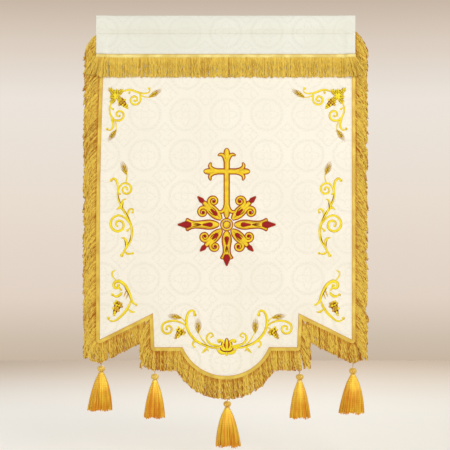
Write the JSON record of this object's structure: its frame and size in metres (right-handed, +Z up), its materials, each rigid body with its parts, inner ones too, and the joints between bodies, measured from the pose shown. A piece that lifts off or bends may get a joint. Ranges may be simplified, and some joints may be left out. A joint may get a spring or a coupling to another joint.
{
  "type": "church banner",
  "caption": "Hanging church banner: ivory brocade cloth with a rod pocket, gold fringe, shaped lower edge and tassels on short cords.",
  "frame": {"origin": "middle of the top edge, halfway through the cloth's thickness, where the cross bar carries the banner", "axes": "+Z up, -Y out of the embroidered face, +X to the right as seen from in front"},
  "size_m": [0.796, 0.0569, 1.2041],
  "materials": {
    "ivory_brocade": "tone-on-tone woven brocade, soft satin figure on a dull ground",
    "gold_fringe": "twisted metallic-look rayon fringe on a woven tape",
    "gold_cord": "thin twisted cord",
    "gold_wrap": "tightly wound gold thread",
    "gold_rayon": "loose glossy threads",
    "gold_embroidery": "raised satin stitch in metallic-look gold thread",
    "ruby_embroidery": "satin stitch in ruby and brown thread"
  },
  "bodies": {
    "root": {"banner_panel": "ivory_brocade", "rod_sleeve": "ivory_brocade", "fringe_top": "gold_fringe", "fringe_apron": "gold_fringe", "fringe_side_left": "gold_fringe", "fringe_side_right": "gold_fringe", "fringe_tail_left": "gold_fringe", "fringe_tail_right": "gold_fringe", "fringe_step_left": "gold_fringe", "fringe_step_right": "gold_fringe", "fringe_ledge_left": "gold_fringe", "fringe_ledge_right": "gold_fringe", "tassel_cord_far_left": "gold_cord", "tassel_knob_far_left": "gold_wrap", "tassel_collar_far_left": "gold_wrap", "tassel_skirt_far_left": "gold_rayon", "tassel_cord_mid_left": "gold_cord", "tassel_knob_mid_left": "gold_wrap", "tassel_collar_mid_left": "gold_wrap", "tassel_skirt_mid_left": "gold_rayon", "tassel_cord_centre": "gold_cord", "tassel_knob_centre": "gold_wrap", "tassel_collar_centre": "gold_wrap", "tassel_skirt_centre": "gold_rayon", "tassel_cord_mid_right": "gold_cord", "tassel_knob_mid_right": "gold_wrap", "tassel_collar_mid_right": "gold_wrap", "tassel_skirt_mid_right": "gold_rayon", "tassel_cord_far_right": "gold_cord", "tassel_knob_far_right": "gold_wrap", "tassel_collar_far_right": "gold_wrap", "tassel_skirt_far_right": "gold_rayon"}
  },
  "joints": []
}
